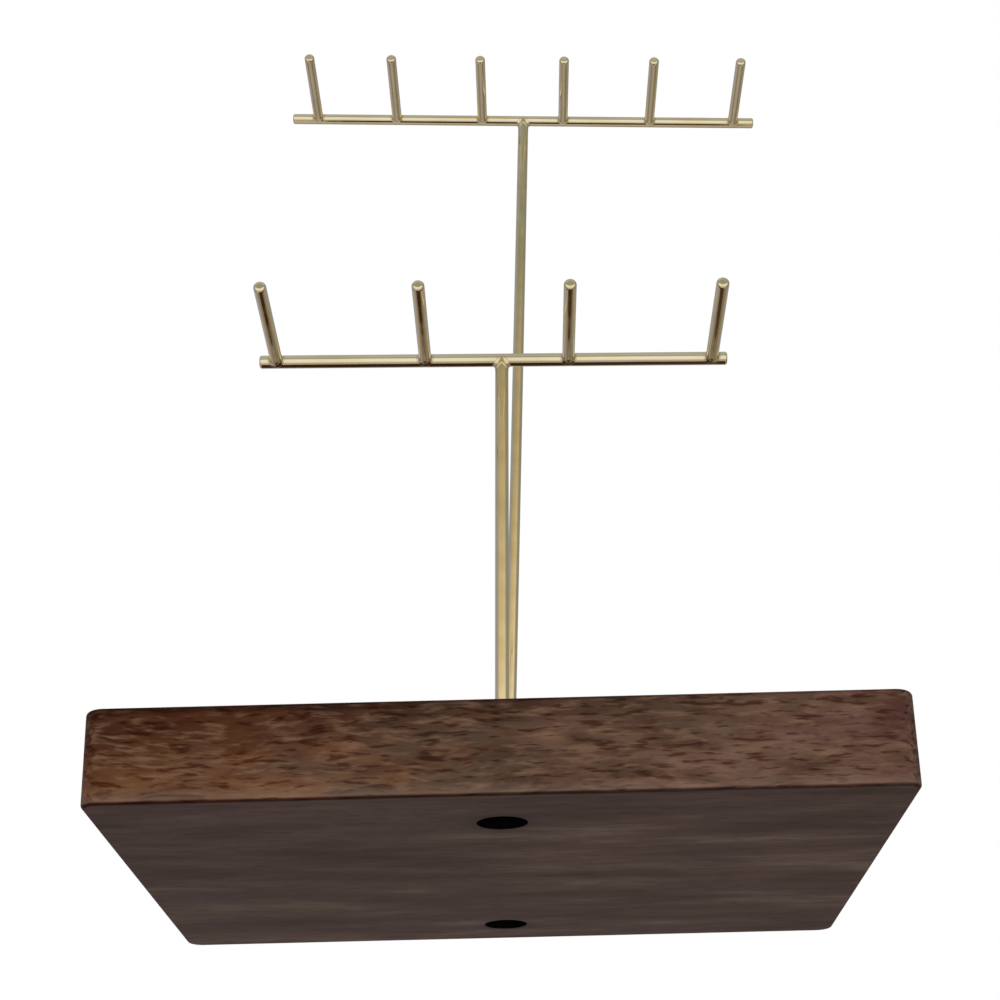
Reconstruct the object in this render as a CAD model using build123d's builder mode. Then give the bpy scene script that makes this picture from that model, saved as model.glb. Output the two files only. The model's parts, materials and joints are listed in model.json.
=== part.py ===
"""Two-tier jewellery stand: two T-shaped stands of brass rod bolted to one solid wooden base block.

Millimetres. The origin is the middle of the block's underside, +X right, +Y back, +Z up.
Each stand is set out in a frame of its own: origin where its post's axis meets the block's top,
z up the post, x along the crossbar, and the pegs towards -y.
"""
import os

from build123d import *

os.makedirs("parts", exist_ok=True)

# Base block
block_width = 250.0
block_depth = 210.0
block_height = 30.0
corner_radius = 6.0          # the four upright corners
arris_radius = 1.4           # all round the top and the underside

# Where the two posts stand
front_inset = 32.5           # front face of the block to the front post
rear_inset = 26.5            # rear face of the block to the rear post
front_shift = 0.65           # each post's foot, right of the block's middle
rear_shift = 0.25
front_lean = 1.15            # degrees; both stands lean a little to the right
rear_lean = 2.5

# Rod stock
post_diameter = 4.5
bar_diameter = 4.5
peg_diameter = 4.2
bar_end_radius = 0.8         # rounding of the crossbar's ends
peg_end_radius = 1.2         # rounding of the pegs' tips

# Front stand
front_bar_height = 131.0     # top of the block to the crossbar's axis
front_bar_ends = (-82.7, 76.7)                   # along the crossbar, from the post
front_peg_spots = (-76.9, -26.1, 22.7, 71.5)     # the same; the pegs are spaced by eye
front_peg_reach = 48.0       # crossbar's axis to the peg's tip

# Rear stand
rear_bar_height = 331.0
rear_bar_ends = (-103.7, 102.9)
rear_peg_spots = (-92.2, -56.8, -18.4, 17.8, 56.5, 93.7)
rear_peg_reach = 43.5

peg_rise = 3.0               # degrees; every peg points a little up

# Brazed joints: each rod is coped to the crossbar, with a web of filler on both sides
braze_gap = 0.05
post_web_width = 0.6
post_web_height = 1.8
peg_web_width = 0.5
peg_web_height = 1.0
web_thickness = 1.2

# Foot of each post: a socket in the block, a shoulder, and a stud that goes on through
socket_depth = 6.0
stud_diameter = 3.0
stud_proud = 1.5             # stud past the nut
stud_chamfer = 0.4
running_clearance = 0.05     # between what swivels and what stands still
stud_clearance = 0.2         # all round the stud in its hole

# Counterbore in the underside, and the fasteners in it
counterbore_depth = 12.0
washer_diameter = 12.0
washer_thickness = 1.0
washer_clearance = 2.0       # all round the washer, for a nut driver
washer_bore_clearance = 0.15
lock_washer_diameter = 6.2
lock_washer_thickness = 0.8
lock_washer_slit = 0.7
lock_washer_slant = 25.0     # degrees, the slit off the axis
nut_across_flats = 5.5
nut_height = 2.4
nut_chamfer = 0.35           # height of the chamfer on the corners
thread_clearance = 0.03

overcut = 1.0                # how far a cut runs on past a face

# Levels along a post, from the top of the block
counterbore_floor = counterbore_depth - block_height
shoulder_level = running_clearance - socket_depth
lock_washer_top = counterbore_floor - washer_thickness - running_clearance
nut_top = lock_washer_top - lock_washer_thickness
stud_end = nut_top - nut_height - stud_proud

front_foot = (front_shift, front_inset - block_depth / 2, block_height)
rear_foot = (rear_shift, block_depth / 2 - rear_inset, block_height)
front_frame = Plane(Location(front_foot, (0, front_lean, 0)))
rear_frame = Plane(Location(rear_foot, (0, rear_lean, 0)))


def placed(frame, position, turn=(0, 0, 0)):
    """A plane at a position in a stand's frame, turned about that frame's axes."""
    return Plane(frame.location * Location(position, turn))


def beside(rod):
    """The plane through a rod's axis and the crossbar's, with local y along the rod."""
    return Plane(origin=rod.origin, x_dir=rod.x_dir, z_dir=-rod.y_dir)


def coped_end(rod, diameter, web_width, web_height):
    """The end of a rod at the crossbar, whose axis runs along the plane's x through its origin.

    The end is hollowed to a saddle that sits on the crossbar. Braze swells a thinner rod to the
    crossbar's own width there, and a small web of it fills the corner on each side.
    """
    seat = bar_diameter / 2 + braze_gap
    web_top = seat + web_height
    edge = diameter / 2
    with BuildPart() as end:
        with BuildSketch(beside(rod)):
            Polygon((0, 0), (bar_diameter / 2, 0), (edge, web_top), (0, web_top), align=None)
        revolve(axis=Axis(rod.origin, rod.z_dir))
        with BuildSketch(beside(rod)):
            with BuildLine():
                Polyline((0, web_top), (0, 0), (edge + web_width, 0), (edge + web_width, seat))
                Bezier((edge + web_width, seat), (edge, seat), (edge, web_top))
                Line((edge, web_top), (0, web_top))
            make_face()
            mirror(about=Plane.YZ)
        extrude(amount=web_thickness / 2, both=True)
        with BuildSketch(Plane(origin=rod.origin, z_dir=rod.x_dir)):
            Circle(seat)
        extrude(amount=diameter, both=True, mode=Mode.SUBTRACT)
    return end.part


def build_post(tier, frame, bar_height):
    """Upright rod, coped to the crossbar above and turned down to a stud below."""
    down = placed(frame, (0, 0, bar_height), (180, 0, 0))
    root = bar_diameter / 2 + braze_gap + post_web_height
    with BuildPart() as post:
        add(coped_end(down, post_diameter, post_web_width, post_web_height))
        with BuildSketch(down.offset(root)):
            Circle(post_diameter / 2)
        extrude(amount=bar_height - shoulder_level - root)
        with BuildSketch(frame.offset(shoulder_level)):
            Circle(stud_diameter / 2)
        extrude(amount=stud_end - shoulder_level)
        tip = post.faces().sort_by(Axis(frame.origin, frame.z_dir))[0]
        chamfer(tip.edges(), stud_chamfer)
    post.part.label = f"{tier}_post"
    export_step(post.part, f"parts/{tier}_post.step")


def build_crossbar(tier, frame, bar_height, bar_ends):
    """Level rod with softly rounded ends."""
    left_end, right_end = bar_ends
    with BuildPart() as crossbar:
        with BuildSketch(placed(frame, (left_end, 0, bar_height), (0, 90, 0))):
            Circle(bar_diameter / 2)
        extrude(amount=right_end - left_end)
        fillet(crossbar.edges().filter_by(GeomType.CIRCLE), bar_end_radius)
    crossbar.part.label = f"{tier}_crossbar"
    export_step(crossbar.part, f"parts/{tier}_crossbar.step")


def build_peg(name, frame, bar_height, spot, reach):
    """Short rod with a rounded tip, coped to the front of the crossbar."""
    out = placed(frame, (spot, 0, bar_height), (90 - peg_rise, 0, 0))
    root = bar_diameter / 2 + braze_gap + peg_web_height
    radius = peg_diameter / 2
    with BuildPart() as peg:
        add(coped_end(out, peg_diameter, peg_web_width, peg_web_height))
        with BuildSketch(beside(out)):
            with BuildLine():
                Polyline((0, reach), (0, root), (radius, root), (radius, reach - peg_end_radius))
                RadiusArc((radius, reach - peg_end_radius), (radius - peg_end_radius, reach), -peg_end_radius)
                Line((radius - peg_end_radius, reach), (0, reach))
            make_face()
        revolve(axis=Axis(out.origin, out.z_dir))
    peg.part.label = name
    export_step(peg.part, f"parts/{name}.step")


def build_washer(tier, frame):
    """Flat washer against the floor of the counterbore."""
    with BuildPart() as washer:
        with BuildSketch(frame.offset(counterbore_floor)):
            Circle(washer_diameter / 2)
            Circle(stud_diameter / 2 + washer_bore_clearance, mode=Mode.SUBTRACT)
        extrude(amount=-washer_thickness)
    washer.part.label = f"{tier}_washer"
    export_step(washer.part, f"parts/{tier}_washer.step")


def build_lock_washer(tier, frame):
    """Split spring washer, pressed flat under the nut."""
    bore = stud_diameter / 2 + washer_bore_clearance
    middle = (lock_washer_diameter / 2 + bore) / 2
    half_way = lock_washer_top - lock_washer_thickness / 2
    with BuildPart() as lock_washer:
        with BuildSketch(frame.offset(lock_washer_top)):
            Circle(lock_washer_diameter / 2)
            Circle(bore, mode=Mode.SUBTRACT)
        extrude(amount=-lock_washer_thickness)
        with BuildSketch(placed(frame, (middle, 0, half_way), (lock_washer_slant, 0, 0))):
            Rectangle(lock_washer_diameter / 2, lock_washer_slit)
        extrude(amount=lock_washer_thickness, both=True, mode=Mode.SUBTRACT)
    lock_washer.part.label = f"{tier}_lock_washer"
    export_step(lock_washer.part, f"parts/{tier}_lock_washer.step")


def build_nut(tier, frame):
    """Hexagon nut with chamfered corners."""
    nut_axis = placed(frame, (0, 0, nut_top), (180, 0, 0))
    corner = nut_across_flats / 3**0.5
    flat = nut_across_flats / 2
    with BuildPart() as nut:
        with BuildSketch(nut_axis):
            RegularPolygon(flat, 6, major_radius=False)
        extrude(amount=nut_height)
        with BuildSketch(beside(nut_axis)):
            Polygon(
                (0, 0), (flat, 0), (corner, nut_chamfer), (corner, nut_height - nut_chamfer),
                (flat, nut_height), (0, nut_height), align=None,
            )
        revolve(axis=Axis(nut_axis.origin, nut_axis.z_dir), mode=Mode.INTERSECT)
        with BuildSketch(nut_axis):
            Circle(stud_diameter / 2 + thread_clearance)
        extrude(amount=nut_height, mode=Mode.SUBTRACT)
    nut.part.label = f"{tier}_nut"
    export_step(nut.part, f"parts/{tier}_nut.step")


def build_stand(tier, frame, bar_height, bar_ends, peg_spots, peg_reach):
    """Every piece of one stand, and the fasteners that hold it."""
    build_post(tier, frame, bar_height)
    build_crossbar(tier, frame, bar_height, bar_ends)
    for number, spot in enumerate(peg_spots, 1):
        build_peg(f"{tier}_peg_{number}", frame, bar_height, spot, peg_reach)
    build_washer(tier, frame)
    build_lock_washer(tier, frame)
    build_nut(tier, frame)


# Solid board with eased edges. Each post has a hole drilled along its own axis: a snug socket
# from above, a clearance hole for the stud, and a counterbore from below for the nut.
with BuildPart() as base_block:
    with BuildSketch():
        RectangleRounded(block_width, block_depth, corner_radius)
    extrude(amount=block_height)
    rims = base_block.edges().group_by(Axis.Z)
    fillet(rims[0] + rims[-1], arris_radius)
    for post_frame in (front_frame, rear_frame):
        with BuildSketch(post_frame.offset(-socket_depth)):
            Circle(post_diameter / 2 + running_clearance)
        extrude(amount=socket_depth + overcut, mode=Mode.SUBTRACT)
        with BuildSketch(post_frame.offset(counterbore_floor)):
            Circle(stud_diameter / 2 + stud_clearance)
        extrude(amount=-counterbore_floor, mode=Mode.SUBTRACT)
        with BuildSketch(post_frame.offset(counterbore_floor)):
            Circle(washer_diameter / 2 + washer_clearance)
        extrude(amount=-counterbore_depth - overcut, mode=Mode.SUBTRACT)
base_block.part.label = "base_block"
export_step(base_block.part, "parts/base_block.step")

build_stand("front", front_frame, front_bar_height, front_bar_ends, front_peg_spots, front_peg_reach)
build_stand("rear", rear_frame, rear_bar_height, rear_bar_ends, rear_peg_spots, rear_peg_reach)
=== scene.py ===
import json
import math

import bmesh
import bpy
from mathutils import Matrix, Vector


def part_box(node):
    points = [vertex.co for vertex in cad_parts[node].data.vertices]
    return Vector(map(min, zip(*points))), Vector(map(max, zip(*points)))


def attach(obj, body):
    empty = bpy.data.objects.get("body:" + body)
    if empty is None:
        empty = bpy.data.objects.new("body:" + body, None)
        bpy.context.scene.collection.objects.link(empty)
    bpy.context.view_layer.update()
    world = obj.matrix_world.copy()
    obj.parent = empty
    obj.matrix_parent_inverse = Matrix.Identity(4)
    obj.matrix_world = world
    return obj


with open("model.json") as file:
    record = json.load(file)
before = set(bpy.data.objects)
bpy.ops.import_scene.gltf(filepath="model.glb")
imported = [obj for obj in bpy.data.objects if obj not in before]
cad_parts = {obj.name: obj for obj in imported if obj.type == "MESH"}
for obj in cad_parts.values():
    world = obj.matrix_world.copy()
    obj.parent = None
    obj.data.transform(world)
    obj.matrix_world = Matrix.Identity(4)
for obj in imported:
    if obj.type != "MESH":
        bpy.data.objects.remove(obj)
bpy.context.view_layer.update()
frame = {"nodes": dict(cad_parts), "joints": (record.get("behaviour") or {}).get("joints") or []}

nodes = frame["nodes"]

# Base block. One solid board of open-pored tropical hardwood, planed, its arrises eased with
# sandpaper, and wiped with a dark oil that stays in the pores as short dashes. Each post's hole is
# drilled from above and counterbored from below, and the counterbore is near-black inside.
COUNTERBORE_RADIUS = 0.008
COUNTERBORE_DEPTH = 0.012
BLACK_MARGIN = 0.001     # how far the black mask reaches into the wood of wall and floor
DARK_RING_REACH = 0.006        # past the counterbore's rim
UNDERSIDE_SKIN = 0.0001  # what lies lower than this is underside, not wall
UNDER_FULL = 0.00005     # height up to which the underside's look holds
UNDER_GONE = 0.0004      # and at which it has given way to the sides'
END_SKIN = 0.0007        # depth over which the end grain comes in round the corners
END_FULL = 0.00001       # depth at which it is all there
BROAD_SWAY = (0, 0.006, 0.008)      # the most that the fibres move along x, y and z
FINE_SWAY = (0, 0.0016, 0.0018)
DRIFT_SPREAD = 1.5       # how far noise carries the board's colours along it, in its lengths
STREAK_SPREAD = 1.6      # the same for the edge of its redder part
FILLED_PORES = 0.35      # share of the pores that the underside's filler leaves to see
TIERS = ("front", "rear")

# Settings that several nodes share
TINTED = {"data_type": "RGBA", "blend_type": "MULTIPLY"}
MIXED = {"data_type": "RGBA"}
SOFT_STEP = {"interpolation_type": "SMOOTHSTEP"}


def linear(hex_colour):
    """An sRGB hex colour as linear red, green, blue and alpha."""
    channels = [int(hex_colour[i:i + 2], 16) / 255 for i in (1, 3, 5)]
    return [c / 12.92 if c <= 0.04045 else ((c + 0.055) / 1.055) ** 2.4 for c in channels] + [1.0]


def in_use(sockets, key=0):
    """Of the sockets that a node's settings leave in use, the one with this name or number."""
    used = [socket for socket in sockets if socket.enabled]
    return used[key] if isinstance(key, int) else next(socket for socket in used if socket.name == key)


def add_node(tree, kind, settings=None, inputs=None, stops=None):
    """Adds a node with its settings, and links or sets its inputs.

    An input given as a socket is linked, and one given as a node is linked to the first output that
    the node has in use. A hex colour is set as linear, and any other value as it is. Stops are
    (position, hex colour) pairs for a node that has a colour ramp.
    """
    made = tree.nodes.new(kind)
    for name, value in (settings or {}).items():
        setattr(made, name, value)
    for key, value in (inputs or {}).items():
        if isinstance(value, bpy.types.Node):
            value = in_use(value.outputs)
        if isinstance(value, bpy.types.NodeSocket):
            tree.links.new(value, in_use(made.inputs, key))
        else:
            in_use(made.inputs, key).default_value = linear(value) if isinstance(value, str) else value
    if stops:
        elements = made.color_ramp.elements
        while len(elements) < len(stops):
            elements.new(1.0)
        for element, (position, colour) in zip(elements, stops):
            element.position = position
            element.color = linear(colour)
    return made


def new_material(name):
    """An empty node material and its tree."""
    material = bpy.data.materials.new(name)
    material.use_nodes = True
    material.node_tree.nodes.clear()
    return material, material.node_tree


def cells(across, along=None):
    """The scale of a noise whose cells have this size in millimetres.

    With a length along the grain it is a mapping's scale, and the cells are stretched along x.
    """
    return 1000 / across if along is None else (1000 / along, 1000 / across, 1000 / across)


def stand_frame(tier):
    """Where a stand's post meets the block's top, and its lean to the right in radians."""
    joint = next(joint for joint in frame["joints"] if joint["child"] == f"{tier}_stand")
    return Vector(joint["pos_m"]), math.atan2(joint["axis"][0], joint["axis"][2])


block_low, block_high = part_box("base_block")
hardwood, tree = new_material("oiled_open_pored_hardwood")
place = add_node(tree, "ShaderNodeTexCoord").outputs["Object"]
axes = add_node(tree, "ShaderNodeSeparateXYZ", inputs={0: place}).outputs
along = add_node(tree, "ShaderNodeMapRange", inputs={
    "Value": axes["X"], "From Min": block_low.x, "From Max": block_high.x})
upward = add_node(tree, "ShaderNodeMapRange", inputs={"Value": axes["Z"], "From Max": block_high.z})

# Interlocked grain: the fibres sway a millimetre or two up and down along the board.
broad_place = add_node(tree, "ShaderNodeMapping", inputs={0: place, "Scale": cells(20, along=41.7)})
broad_sway = add_node(tree, "ShaderNodeTexNoise", inputs={
    "Vector": broad_place, "Scale": 1.0, "Detail": 1.0})
fine_place = add_node(tree, "ShaderNodeMapping", inputs={0: place, "Scale": cells(5.88, along=11.1)})
fine_sway = add_node(tree, "ShaderNodeTexNoise", inputs={
    "Vector": fine_place, "Scale": 1.0, "Detail": 1.0})
broad_fibre = add_node(tree, "ShaderNodeVectorMath", {"operation": "MULTIPLY_ADD"}, {
    0: broad_sway.outputs["Color"], 1: BROAD_SWAY, 2: place})
fibre = add_node(tree, "ShaderNodeVectorMath", {"operation": "MULTIPLY_ADD"}, {
    0: fine_sway.outputs["Color"], 1: FINE_SWAY, 2: broad_fibre})

# Heartwood colour drifts from golden brown at the left end over a greyer brown to pinkish brown at
# the right one, in patches a few centimetres long.
drift_place = add_node(tree, "ShaderNodeMapping", inputs={0: fibre, "Scale": cells(11.1, along=33.3)})
drift_noise = add_node(tree, "ShaderNodeTexNoise", inputs={
    "Vector": drift_place, "Scale": 1.0, "Detail": 3.0})
drift = add_node(tree, "ShaderNodeMath", {"operation": "MULTIPLY_ADD"}, {
    0: drift_noise, 1: DRIFT_SPREAD, 2: along})
drift = add_node(tree, "ShaderNodeMath", {"operation": "SUBTRACT"}, {0: drift, 1: DRIFT_SPREAD / 2})
hue = add_node(tree, "ShaderNodeValToRGB", inputs={0: drift}, stops=[
    (0.00, "#765439"), (0.18, "#72523d"), (0.34, "#634d3d"), (0.50, "#594a3e"), (0.64, "#624e41"),
    (0.80, "#6e574a"), (1.00, "#6a4f48")])
patch_place = add_node(tree, "ShaderNodeMapping", inputs={0: fibre, "Scale": cells(4.76, along=18.2)})
patch = add_node(tree, "ShaderNodeTexNoise", inputs={
    "Vector": patch_place, "Scale": 1.0, "Detail": 3.0, "Roughness": 0.6})
shade = add_node(tree, "ShaderNodeValToRGB", inputs={0: patch}, stops=[
    (0.30, "#bca6a0"), (0.44, "#d6c8c1"), (0.54, "#ebe2db"), (0.70, "#ffffff")])
heartwood = add_node(tree, "ShaderNodeMix", TINTED, {"Factor": 1.0, "A": hue, "B": shade})

# The upper left of the board is darker, redder heartwood, which fades out in streaks.
depth = add_node(tree, "ShaderNodeMath", {"operation": "SUBTRACT"}, {0: upward, 1: along})
depth = add_node(tree, "ShaderNodeMath", {"operation": "MULTIPLY_ADD"}, {
    0: patch, 1: STREAK_SPREAD, 2: depth})
red_mask = add_node(tree, "ShaderNodeMapRange", SOFT_STEP, {
    "Value": depth, "From Min": 0.85, "From Max": 1.45, "To Min": 0.0, "To Max": 1.0})
streaked = add_node(tree, "ShaderNodeMix", TINTED, {"Factor": red_mask, "A": heartwood, "B": "#b09891"})

# The sway dies down towards the right, where flecks and pores lie straight, at its mean height.
calm = add_node(tree, "ShaderNodeMapRange", SOFT_STEP, {
    "Value": along, "From Min": 0.25, "From Max": 0.75, "To Min": 1.0, "To Max": 0.2})
mean_sway = [(broad + fine) / 2 for broad, fine in zip(BROAD_SWAY, FINE_SWAY)]
straight = add_node(tree, "ShaderNodeVectorMath", {"operation": "ADD"}, {0: place, 1: mean_sway})
straighter = add_node(tree, "ShaderNodeMix", {"data_type": "VECTOR"}, {
    "Factor": calm, "A": straight, "B": fibre})

# Lighter flecks where the interlocked fibres turn towards the face: partly the wood's figure, partly a
# painted highlight. Their noise starts elsewhere, so that they keep clear of the pores' pattern.
fleck_place = add_node(tree, "ShaderNodeMapping", inputs={
    0: straighter, "Location": (3.1, 7.7, 5.3), "Scale": cells(1.8, along=10)})
fleck = add_node(tree, "ShaderNodeTexNoise", inputs={
    "Vector": fleck_place, "Scale": 1.0, "Detail": 3.0, "Roughness": 0.55})
fleck_highlight_mask = add_node(tree, "ShaderNodeMapRange", SOFT_STEP, {
    "Value": fleck, "From Min": 0.46, "From Max": 0.72, "To Min": 0.0, "To Max": 0.6})
flecked_and_highlit = add_node(tree, "ShaderNodeMix", MIXED, {"Factor": fleck_highlight_mask, "A": streaked, "B": "#7d604b"})

# Pores: dashes of uneven length, because each is the stretch of one vessel that the saw laid open.
# They are drawn a few times as coarse as real vessels, so that they show.
pore_place = add_node(tree, "ShaderNodeMapping", inputs={0: straighter, "Scale": cells(1.3, along=8)})
pore = add_node(tree, "ShaderNodeTexNoise", inputs={
    "Vector": pore_place, "Scale": 1.0, "Detail": 2.0, "Roughness": 0.55})
pore_mask = add_node(tree, "ShaderNodeMapRange", SOFT_STEP, {
    "Value": pore, "From Min": 0.50, "From Max": 0.67, "To Min": 0.0, "To Max": 0.85})
pored = add_node(tree, "ShaderNodeMix", TINTED, {"Factor": pore_mask, "A": flecked_and_highlit, "B": "#a38478"})

# Just above the lower arris the sandpaper burnished the wood, which leaves a paler band.
burnished = add_node(tree, "ShaderNodeValToRGB", inputs={0: upward}, stops=[
    (0.020, "#000000"), (0.038, "#9c9c9c"), (0.075, "#7c7c7c"), (0.150, "#000000")])
banded = add_node(tree, "ShaderNodeMix", MIXED, {"Factor": burnished, "A": pored, "B": "#8c7466"})

# The underside is filled and rubbed smooth, with faint long streaks; its darker, colder brown is
# partly painted shade and painted grey sheen.
under_place = add_node(tree, "ShaderNodeMapping", inputs={0: broad_fibre, "Scale": cells(15.6, along=76.9)})
under_noise = add_node(tree, "ShaderNodeTexNoise", inputs={
    "Vector": under_place, "Scale": 1.0, "Detail": 6.0, "Roughness": 0.62})
under_tone_shade_sheen = add_node(tree, "ShaderNodeValToRGB", inputs={0: under_noise}, stops=[
    (0.30, "#3c2b24"), (0.43, "#4d3933"), (0.50, "#56413f"), (0.57, "#604a3f"), (0.70, "#77635b")])
filled_pores = add_node(tree, "ShaderNodeMath", {"operation": "MULTIPLY"}, {
    0: pore_mask, 1: FILLED_PORES})
under_pored_shaded = add_node(tree, "ShaderNodeMix", TINTED, {
    "Factor": filled_pores, "A": under_tone_shade_sheen, "B": "#a38478"})
under = add_node(tree, "ShaderNodeMapRange", SOFT_STEP, {
    "Value": axes["Z"], "From Min": UNDER_FULL, "From Max": UNDER_GONE,
    "To Min": 1.0, "To Max": 0.0})
two_sided = add_node(tree, "ShaderNodeMix", MIXED, {"Factor": under, "A": banded, "B": under_pored_shaded})

# End grain on the left and right faces drinks more oil, and its vessels show as fine dark dots,
# which are drawn coarser than life too.
end_pore = add_node(tree, "ShaderNodeTexNoise", inputs={"Vector": place, "Scale": cells(0.9), "Detail": 2.0})
end_colour = add_node(tree, "ShaderNodeValToRGB", inputs={0: end_pore}, stops=[
    (0.38, "#e0d6ce"), (0.50, "#cfc2ba"), (0.60, "#8f7a72")])
from_middle = add_node(tree, "ShaderNodeMath", {"operation": "ABSOLUTE"}, {0: axes["X"]})
at_end = add_node(tree, "ShaderNodeMapRange", SOFT_STEP, {
    "Value": from_middle, "From Min": block_high.x - END_SKIN, "From Max": block_high.x - END_FULL,
    "To Min": 0.0, "To Max": 1.0})
ended = add_node(tree, "ShaderNodeMix", TINTED, {"Factor": at_end, "A": two_sided, "B": end_colour})

# Thin reddish-black lines along both arrises, fading towards the right: painted shade where the
# rounded arrises turn away from the light. Under the upper one, the left half keeps a darker rim.
arris_painted_shade = add_node(tree, "ShaderNodeValToRGB", inputs={0: upward}, stops=[
    (0.000, "#000000"), (0.004, "#ffffff"), (0.018, "#ffffff"), (0.032, "#000000"), (0.955, "#000000"),
    (0.972, "#c8c8c8"), (0.994, "#c8c8c8"), (0.9995, "#000000")])
arris_shade_fade = add_node(tree, "ShaderNodeMapRange", inputs={"Value": along, "To Min": 0.95, "To Max": 0.65})
arris_painted_shade = add_node(tree, "ShaderNodeMath", {"operation": "MULTIPLY"}, {0: arris_painted_shade, 1: arris_shade_fade})
arris_shaded = add_node(tree, "ShaderNodeMix", TINTED, {"Factor": arris_painted_shade, "A": ended, "B": "#7a5a55"})
rim = add_node(tree, "ShaderNodeValToRGB", inputs={0: upward}, stops=[
    (0.900, "#000000"), (0.930, "#ffffff"), (0.994, "#ffffff"), (0.9995, "#000000")])
left = add_node(tree, "ShaderNodeMapRange", SOFT_STEP, {
    "Value": along, "From Min": 0.22, "From Max": 0.58, "To Min": 1.0, "To Max": 0.0})
left_rim = add_node(tree, "ShaderNodeMath", {"operation": "MULTIPLY"}, {0: rim, 1: left})
rimmed = add_node(tree, "ShaderNodeMix", TINTED, {"Factor": left_rim, "A": arris_shaded, "B": "#c9bfb6"})

# Near-black walls and floors in the counterbores, with a faint darker ring round each on the underside.
nearest = None
for tier in TIERS:
    foot, lean = stand_frame(tier)
    centre_x = foot.x - math.tan(lean) * (block_high.z - COUNTERBORE_DEPTH / 2)
    off_x = add_node(tree, "ShaderNodeMath", {"operation": "SUBTRACT"}, {0: axes["X"], 1: centre_x})
    off_y = add_node(tree, "ShaderNodeMath", {"operation": "SUBTRACT"}, {0: axes["Y"], 1: foot.y})
    off = add_node(tree, "ShaderNodeCombineXYZ", inputs={0: off_x, 1: off_y})
    reach = add_node(tree, "ShaderNodeVectorMath", {"operation": "LENGTH"}, {0: off})
    nearest = reach if nearest is None else add_node(tree, "ShaderNodeMath", {"operation": "MINIMUM"}, {
        0: nearest, 1: reach})
inside = add_node(tree, "ShaderNodeMath", {"operation": "LESS_THAN"}, {
    0: nearest, 1: COUNTERBORE_RADIUS + BLACK_MARGIN})
below_floor = add_node(tree, "ShaderNodeMath", {"operation": "LESS_THAN"}, {
    0: axes["Z"], 1: COUNTERBORE_DEPTH + BLACK_MARGIN})
above_rim = add_node(tree, "ShaderNodeMath", {"operation": "GREATER_THAN"}, {
    0: axes["Z"], 1: UNDERSIDE_SKIN})
in_depth = add_node(tree, "ShaderNodeMath", {"operation": "MULTIPLY"}, {0: below_floor, 1: above_rim})
blackened = add_node(tree, "ShaderNodeMath", {"operation": "MULTIPLY"}, {0: inside, 1: in_depth})
dark_ring = add_node(tree, "ShaderNodeMapRange", SOFT_STEP, {
    "Value": nearest, "From Min": COUNTERBORE_RADIUS, "From Max": COUNTERBORE_RADIUS + DARK_RING_REACH,
    "To Min": 0.35, "To Max": 0.0})
dark_ring = add_node(tree, "ShaderNodeMath", {"operation": "MULTIPLY"}, {0: dark_ring, 1: under})
blackened = add_node(tree, "ShaderNodeMath", {"operation": "MAXIMUM"}, {0: blackened, 1: dark_ring})
finished = add_node(tree, "ShaderNodeMix", MIXED, {"Factor": blackened, "A": rimmed, "B": "#050404"})

# The oil film is satin, and duller inside the pores, which are fine grooves.
openness = add_node(tree, "ShaderNodeMapRange", inputs={"Value": under, "To Min": 1.0, "To Max": 0.15})
pore_depth = add_node(tree, "ShaderNodeMath", {"operation": "MULTIPLY"}, {0: pore_mask, 1: openness})
roughness = add_node(tree, "ShaderNodeMapRange", inputs={"Value": pore_depth, "To Min": 0.46, "To Max": 0.66})
relief = add_node(tree, "ShaderNodeBump", {"invert": True}, {
    "Height": pore_depth, "Strength": 0.3, "Distance": 0.00012})
wood_shader = add_node(tree, "ShaderNodeBsdfPrincipled", inputs={
    "Base Color": finished, "Roughness": roughness, "Normal": relief, "Specular IOR Level": 0.06})
add_node(tree, "ShaderNodeOutputMaterial", inputs={"Surface": wood_shader})
for slot in nodes["base_block"].material_slots:
    slot.material = hardwood

# Posts, crossbars and pegs of both stands. Drawn brass rod, cut, polished, brazed together and
# lacquered. The lacquer greys the brass a little at grazing angles, and hand polishing leaves it
# slightly wavy, so long reflections waver.
brass, tree = new_material("polished_lacquered_brass")
place = add_node(tree, "ShaderNodeTexCoord").outputs["Object"]
tone = add_node(tree, "ShaderNodeTexNoise", inputs={"Vector": place, "Scale": cells(14), "Detail": 2.0})
tint = add_node(tree, "ShaderNodeValToRGB", inputs={0: tone}, stops=[
    (0.35, "#e1d2ae"), (0.50, "#e6d8b4"), (0.65, "#e9dabb")])
haze = add_node(tree, "ShaderNodeTexNoise", inputs={"Vector": place, "Scale": cells(3), "Detail": 3.0})
haze_range = add_node(tree, "ShaderNodeMapRange", inputs={
    "Value": haze, "From Min": 0.35, "From Max": 0.65, "To Min": 0.08, "To Max": 0.15})
wave = add_node(tree, "ShaderNodeTexNoise", inputs={"Vector": place, "Scale": cells(14), "Detail": 1.0})
ripple = add_node(tree, "ShaderNodeBump", inputs={"Height": wave, "Strength": 0.5, "Distance": 0.0004})
brass_shader = add_node(tree, "ShaderNodeBsdfPrincipled", inputs={
    "Base Color": tint, "Metallic": 1.0, "Roughness": haze_range, "Normal": ripple,
    "Coat Weight": 0.3, "Coat Roughness": 0.1})
add_node(tree, "ShaderNodeOutputMaterial", inputs={"Surface": brass_shader})
for name, node in nodes.items():
    if name.endswith(("post", "crossbar")) or "_peg_" in name:
        for slot in node.material_slots:
            slot.material = brass

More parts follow.
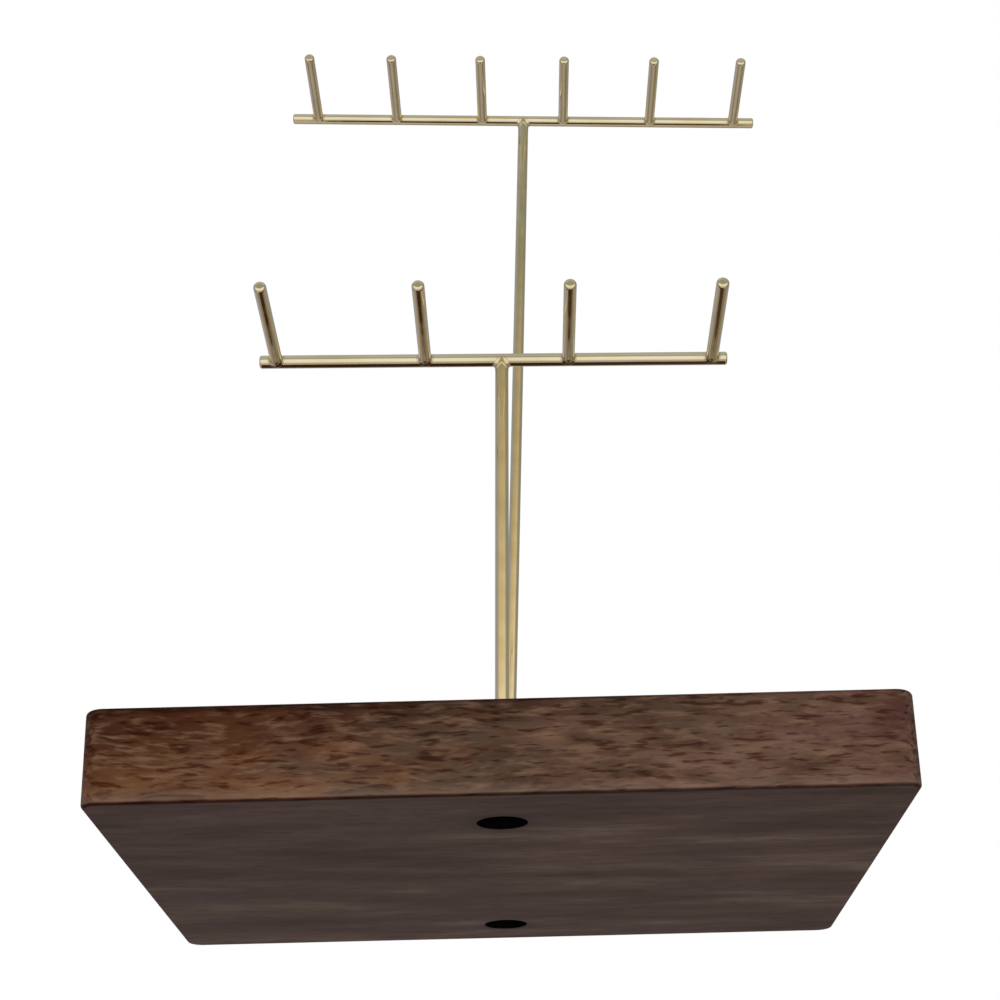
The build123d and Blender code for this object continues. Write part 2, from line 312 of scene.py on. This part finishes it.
# Braze fillets. Melted filler draws a smooth hollow collar round each joint where a post or a peg
# meets its crossbar, and it is polished and lacquered with the rods.
BAR_RADIUS = 0.00225
PEG_RADIUS = 0.00215     # where braze swells the peg's end, so thicker than further out
POST_CLIMB = 0.0021      # how far a collar climbs its rod
PEG_CLIMB = 0.0013
POST_SPREAD = 0.0009     # how far it spreads over the crossbar
PEG_SPREAD = 0.0008
FILLET_LIFT = 0.00002    # stands proud of both rods
COLLAR_SIDES = 64
CURVE_POINTS = 9
HIDDEN_SHARE = 0.8       # radius of a collar's edge inside the rods, as a share of theirs
PEG_RISE = 3.0           # degrees
BAR_HEIGHTS = {"front": 0.131, "rear": 0.331}
PEG_SPOTS = {
    "front": (-0.0769, -0.0261, 0.0227, 0.0715),
    "rear": (-0.0922, -0.0568, -0.0184, 0.0178, 0.0565, 0.0937),
}


def new_piece(name, mesh):
    """An object of its own, made from mesh code."""
    data = bpy.data.meshes.new(name)
    mesh.to_mesh(data)
    mesh.free()
    piece = bpy.data.objects.new(name, data)
    bpy.context.collection.objects.link(piece)
    return piece


def fillet_piece(name, rod_radius, climb, spread):
    """A closed collar round a rod that stands along z on a crossbar along x, both through the origin.

    It climbs the rod and spreads over the bar by the given lengths, with a hollow curve between.
    """
    mesh = bmesh.new()
    rings = []
    for side in range(COLLAR_SIDES):
        turn = 2 * math.pi * side / COLLAR_SIDES
        c, s = math.cos(turn), math.sin(turn)
        seat = math.sqrt(max(BAR_RADIUS ** 2 - (rod_radius * s) ** 2, 0))
        high = Vector((rod_radius * c, rod_radius * s, seat + climb))
        corner = Vector((rod_radius * c, rod_radius * s, seat))
        roll = math.copysign(math.asin(min(rod_radius * abs(s) / BAR_RADIUS, 1)), s) + spread * s / BAR_RADIUS
        low = Vector(((rod_radius + spread) * c, BAR_RADIUS * math.sin(roll), BAR_RADIUS * math.cos(roll)))
        ring = []
        for step in range(CURVE_POINTS):
            t = step / (CURVE_POINTS - 1)
            point = high * (1 - t) ** 2 + corner * 2 * t * (1 - t) + low * t ** 2
            lift = (BAR_RADIUS + FILLET_LIFT) / math.hypot(point.y, point.z)
            if lift > 1:
                point.y *= lift
                point.z *= lift
            lift = (rod_radius + FILLET_LIFT) / math.hypot(point.x, point.y)
            if point.z > 0 and lift > 1:
                point.x *= lift
                point.y *= lift
            ring.append(mesh.verts.new(point))
        ring.append(mesh.verts.new(low * HIDDEN_SHARE))
        ring.append(mesh.verts.new((high.x * HIDDEN_SHARE, high.y * HIDDEN_SHARE, high.z)))
        rings.append(ring)
    for ring, following in zip(rings, rings[1:] + rings[:1]):
        for j in range(len(ring)):
            k = (j + 1) % len(ring)
            mesh.faces.new((ring[j], ring[k], following[k], following[j]))
    bmesh.ops.recalc_face_normals(mesh, faces=mesh.faces)
    return new_piece(name, mesh)


post_fillet = fillet_piece("post_fillet", BAR_RADIUS, POST_CLIMB, POST_SPREAD)
peg_fillet = fillet_piece("peg_fillet", PEG_RADIUS, PEG_CLIMB, PEG_SPREAD)

# One stand's collars: the peg's one repeated at each peg's place on the crossbar, and the post's one
# below the crossbar.
collars = bpy.data.node_groups.new("collars_along_crossbar", "GeometryNodeTree")
sockets = {}
for name, kind in (
        ("Peg Places", "NodeSocketGeometry"), ("Peg Collar", "NodeSocketObject"),
        ("Post Collar", "NodeSocketObject"), ("Peg Turn", "NodeSocketVector"), ("Foot", "NodeSocketVector"),
        ("Lean", "NodeSocketVector"), ("Bar Height", "NodeSocketVector"), ("Metal", "NodeSocketMaterial")):
    sockets[name] = collars.interface.new_socket(name, in_out="INPUT", socket_type=kind).identifier
collars.interface.new_socket("Geometry", in_out="OUTPUT", socket_type="NodeSocketGeometry")
given = add_node(collars, "NodeGroupInput").outputs
peg_collar = add_node(collars, "GeometryNodeObjectInfo", inputs={"Object": given["Peg Collar"]})
post_collar = add_node(collars, "GeometryNodeObjectInfo", inputs={"Object": given["Post Collar"]})
peg_turn = add_node(collars, "FunctionNodeEulerToRotation", inputs={0: given["Peg Turn"]})
along_bar = add_node(collars, "GeometryNodeInstanceOnPoints", inputs={
    "Points": given["Peg Places"], "Instance": peg_collar.outputs["Geometry"], "Rotation": peg_turn})
under_bar = add_node(collars, "GeometryNodeTransform", inputs={
    "Geometry": post_collar.outputs["Geometry"], "Translation": given["Bar Height"],
    "Rotation": (math.pi, 0, 0)})
joined = add_node(collars, "GeometryNodeJoinGeometry", inputs={0: along_bar})
collars.links.new(under_bar.outputs[0], joined.inputs[0])
lean_turn = add_node(collars, "FunctionNodeEulerToRotation", inputs={0: given["Lean"]})
set_up = add_node(collars, "GeometryNodeTransform", inputs={
    "Geometry": joined, "Translation": given["Foot"], "Rotation": lean_turn})
smooth = add_node(collars, "GeometryNodeSetShadeSmooth", inputs={0: set_up})
realized = add_node(collars, "GeometryNodeRealizeInstances", inputs={0: smooth})
lacquered = add_node(collars, "GeometryNodeSetMaterial", inputs={0: realized, "Material": given["Metal"]})
add_node(collars, "NodeGroupOutput", inputs={0: lacquered})


def grown(name, places, group, values):
    """A plain mesh piece, grown from points by a Geometry Nodes group.

    The group's other inputs are set by their identifiers.
    """
    seed = bpy.data.objects.new(name + "_seed", bpy.data.meshes.new(name + "_seed"))
    seed.data.from_pydata(places, [], [])
    bpy.context.collection.objects.link(seed)
    modifier = seed.modifiers.new("grow", "NODES")
    modifier.node_group = group
    for identifier, value in values.items():
        modifier[identifier] = value
    evaluated = seed.evaluated_get(bpy.context.evaluated_depsgraph_get())
    piece = bpy.data.objects.new(name, bpy.data.meshes.new_from_object(evaluated))
    piece.data.name = name
    seed.modifiers.remove(modifier)
    bpy.data.objects.remove(seed)
    bpy.context.collection.objects.link(piece)
    return piece


for tier in TIERS:
    foot, lean = stand_frame(tier)
    bar_height = BAR_HEIGHTS[tier]
    fillets = grown(f"{tier}_braze_fillets", [(spot, 0, bar_height) for spot in PEG_SPOTS[tier]], collars, {
        sockets["Peg Collar"]: peg_fillet, sockets["Post Collar"]: post_fillet,
        sockets["Peg Turn"]: (math.radians(90 - PEG_RISE), 0.0, 0.0), sockets["Foot"]: foot,
        sockets["Lean"]: (0.0, lean, 0.0), sockets["Bar Height"]: (0.0, 0.0, bar_height),
        sockets["Metal"]: brass})
    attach(fillets, f"{tier}_stand")
for spare in (post_fillet, peg_fillet):
    bpy.data.objects.remove(spare)

# Threads on the tips of the two studs. The post's own brass, cut with a die to an M3 thread. It is seen
# where the stud stands proud of its nut, drawn a little finer to fit there, and fades out at both ends.
THREAD_PITCH = 0.000435
THREAD_ROOT = 0.00149    # radius, just inside the stud
THREAD_CREST = 0.00156
THREAD_FLANK = 0.000175  # half the ridge's width at its root
THREAD_START = 0.022484  # below the block's top: just past the nut
THREAD_TURNS = 2.25
TURN_STEPS = 48
FADE_IN = 8              # steps over which the ridge rises
FADE_OUT = 14            # and sinks
FADE_FLOOR = 2           # steps of height that it keeps at its ends

for tier in TIERS:
    foot, lean = stand_frame(tier)
    lean_turn = Matrix.Rotation(lean, 3, "Y")
    mesh = bmesh.new()
    steps = round(THREAD_TURNS * TURN_STEPS)
    profiles = []
    for step in range(steps + 1):
        turn = 2 * math.pi * step / TURN_STEPS
        share = min(1, (step + FADE_FLOOR) / FADE_IN, (steps - step + FADE_FLOOR) / FADE_OUT)
        crest = THREAD_ROOT + (THREAD_CREST - THREAD_ROOT) * share
        level = -THREAD_START - THREAD_PITCH * step / TURN_STEPS
        profile = []
        for radius, rise in ((THREAD_ROOT, THREAD_FLANK), (crest, 0.0), (THREAD_ROOT, -THREAD_FLANK)):
            point = Vector((radius * math.cos(turn), radius * math.sin(turn), level + rise))
            profile.append(mesh.verts.new(foot + lean_turn @ point))
        profiles.append(profile)
    for profile, following in zip(profiles, profiles[1:]):
        for j in range(3):
            k = (j + 1) % 3
            mesh.faces.new((profile[j], profile[k], following[k], following[j]))
    mesh.faces.new(profiles[0])
    mesh.faces.new(profiles[-1][::-1])
    bmesh.ops.recalc_face_normals(mesh, faces=mesh.faces)
    thread = new_piece(f"{tier}_stud_thread", mesh)
    thread.data.materials.append(brass)
    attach(thread, f"{tier}_stand")

# Washers, split spring washers and hexagon nuts in the counterbores. Pressed and cold-headed steel,
# barrel plated with bright zinc, which is bluish white with a faint yellow cast and fine scuffs.
zinc, tree = new_material("bright_zinc_plated_steel")
place = add_node(tree, "ShaderNodeTexCoord").outputs["Object"]
cast = add_node(tree, "ShaderNodeTexNoise", inputs={"Vector": place, "Scale": cells(2.5), "Detail": 2.0})
plating = add_node(tree, "ShaderNodeValToRGB", inputs={0: cast}, stops=[
    (0.36, "#aeb3ba"), (0.52, "#bcbec0"), (0.68, "#c6c3b4")])
scuffs = add_node(tree, "ShaderNodeTexNoise", inputs={"Vector": place, "Scale": cells(0.4), "Detail": 3.0})
scuff_range = add_node(tree, "ShaderNodeMapRange", inputs={
    "Value": scuffs, "From Min": 0.3, "From Max": 0.7, "To Min": 0.24, "To Max": 0.42})
zinc_shader = add_node(tree, "ShaderNodeBsdfPrincipled", inputs={
    "Base Color": plating, "Metallic": 1.0, "Roughness": scuff_range})
add_node(tree, "ShaderNodeOutputMaterial", inputs={"Surface": zinc_shader})
for name, node in nodes.items():
    if name.endswith(("washer", "nut")):
        for slot in node.material_slots:
            slot.material = zinc

# Studio: a plain white room with soft far lamps. What metal mirrors is a white panel in front, from
# low down to a little above the object, that turns warm and then dim higher up, and greyer walls at
# the sides and behind, which are warmer to the right.
AMBIENT = (0.21, 0.21, 0.21, 1.0)    # a light level, so it is linear

world = bpy.data.worlds.new("white_studio")
bpy.context.scene.world = world
world.use_nodes = True
tree = world.node_tree
tree.nodes.clear()
direction = add_node(tree, "ShaderNodeTexCoord").outputs["Generated"]
toward = add_node(tree, "ShaderNodeSeparateXYZ", inputs={0: direction}).outputs
height = add_node(tree, "ShaderNodeMapRange", inputs={
    "Value": toward["Z"], "From Min": -1.0, "From Max": 1.0})
panel = add_node(tree, "ShaderNodeValToRGB", inputs={0: height}, stops=[
    (0.08, "#a5a7a6"), (0.15, "#d3d7db"), (0.23, "#f6fafe"), (0.33, "#ffffff"), (0.61, "#ffffff"),
    (0.653, "#f7e7c5"), (0.668, "#e1d2ae"), (0.695, "#cdc19f"), (0.714, "#c1b08f"), (0.745, "#a39f89"),
    (0.766, "#919889"), (0.87, "#c6cbc9")])
walls = add_node(tree, "ShaderNodeValToRGB", inputs={0: height}, stops=[
    (0.05, "#cac2b6"), (0.15, "#b7b3b1"), (0.21, "#a4a6ad"), (0.25, "#857661"), (0.29, "#96887a"),
    (0.34, "#a49b98"), (0.42, "#a9a3a6"), (0.48, "#acadb7"), (0.75, "#a4a8b1"), (1.00, "#bec2ca")])
beside = add_node(tree, "ShaderNodeMapRange", SOFT_STEP, {
    "Value": toward["X"], "From Min": -0.5, "From Max": 0.8, "To Min": 0.0, "To Max": 1.0})
walls = add_node(tree, "ShaderNodeMix", TINTED, {"Factor": beside, "A": walls, "B": "#e8e6d2"})
ahead = add_node(tree, "ShaderNodeMapRange", SOFT_STEP, {
    "Value": toward["Y"], "From Min": -0.75, "From Max": -0.2, "To Min": 1.0, "To Max": 0.0})
mirrored = add_node(tree, "ShaderNodeMix", MIXED, {"Factor": ahead, "A": walls, "B": panel})
ray = add_node(tree, "ShaderNodeLightPath").outputs
lighting = add_node(tree, "ShaderNodeMix", MIXED, {
    "Factor": ray["Is Glossy Ray"], "A": AMBIENT, "B": mirrored})
seen = add_node(tree, "ShaderNodeMath", {"operation": "MAXIMUM"}, {
    0: ray["Is Camera Ray"], 1: ray["Is Transmission Ray"]})
colour = add_node(tree, "ShaderNodeMix", MIXED, {"Factor": seen, "A": lighting, "B": "#ffffff"})
background = add_node(tree, "ShaderNodeBackground", inputs={"Color": colour, "Strength": 1.0})
add_node(tree, "ShaderNodeOutputWorld", inputs={"Surface": background})


def add_sun(name, towards, level, angle):
    """A soft far lamp: the direction from the object towards it, its strength and its width in degrees."""
    data = bpy.data.lights.new(name, "SUN")
    data.energy = level
    data.angle = math.radians(angle)
    lamp = bpy.data.objects.new(name, data)
    bpy.context.collection.objects.link(lamp)
    lamp.rotation_euler = Vector(towards).to_track_quat("Z", "Y").to_euler()
    lamp.visible_glossy = False


add_sun("key_lamp", (-0.35, -0.80, 0.32), 1.9, 45)
add_sun("fill_lamp", (0.75, -0.55, 0.20), 0.8, 60)
add_sun("low_lamp", (0.10, -0.50, -0.86), 0.6, 60)
add_sun("back_lamp", (0.20, 0.85, 0.35), 1.2, 60)

# Floor: matt white paper under the block, lit up to pure white away from it, so that it meets the
# background without a line. It is clear from below, so the low camera sees through it.
FLOOR_HALF = 4.0
FLOOR_DROP = 0.0003      # below the block, so that the two don't share a plane

floor_data = bpy.data.meshes.new("floor")
corners = [(x * FLOOR_HALF, y * FLOOR_HALF, -FLOOR_DROP) for x, y in ((-1, -1), (1, -1), (1, 1), (-1, 1))]
floor_data.from_pydata(corners, [], [(0, 1, 2, 3)])
floor = bpy.data.objects.new("floor", floor_data)
bpy.context.collection.objects.link(floor)
paper, tree = new_material("matt_white_studio_paper")
place = add_node(tree, "ShaderNodeTexCoord").outputs["Object"]
away = add_node(tree, "ShaderNodeVectorMath", {"operation": "LENGTH"}, {0: place})
lit_up = add_node(tree, "ShaderNodeMapRange", SOFT_STEP, {
    "Value": away, "From Min": 0.2, "From Max": 1.4, "To Min": 0.55, "To Max": 1.0})
matt = add_node(tree, "ShaderNodeBsdfDiffuse", inputs={"Color": "#f7f7f7"})
glow = add_node(tree, "ShaderNodeEmission", inputs={"Color": "#ffffff", "Strength": 1.0})
lit = add_node(tree, "ShaderNodeMixShader", inputs={0: lit_up, 1: matt, 2: glow})
clear = add_node(tree, "ShaderNodeBsdfTransparent")
facing = add_node(tree, "ShaderNodeNewGeometry").outputs
one_way = add_node(tree, "ShaderNodeMixShader", inputs={0: facing["Backfacing"], 1: lit, 2: clear})
add_node(tree, "ShaderNodeOutputMaterial", inputs={"Surface": one_way})
floor.data.materials.append(paper)
floor.visible_glossy = False
floor.visible_diffuse = False
floor.visible_transmission = False
floor.visible_shadow = False

# Camera: low in front of the block, looking up at its underside, as the photograph was taken. Its
# place, turn and focal length come from fitting the block and both stands to the photograph.
CAMERA_PLACE = (0.006661, -0.681305, -0.157554)
CAMERA_TURN = (113.6449, 1.1836, 0.9946)     # degrees
FOCAL_LENGTH = 72.3332                       # mm, for a sensor 36 mm wide

camera_data = bpy.data.cameras.new("camera")
camera_data.sensor_width = 36.0
camera_data.lens = FOCAL_LENGTH
camera = bpy.data.objects.new("camera", camera_data)
bpy.context.collection.objects.link(camera)
camera.location = CAMERA_PLACE
camera.rotation_euler = [math.radians(turn) for turn in CAMERA_TURN]
bpy.context.scene.camera = camera
bpy.context.scene.view_settings.view_transform = "Standard"
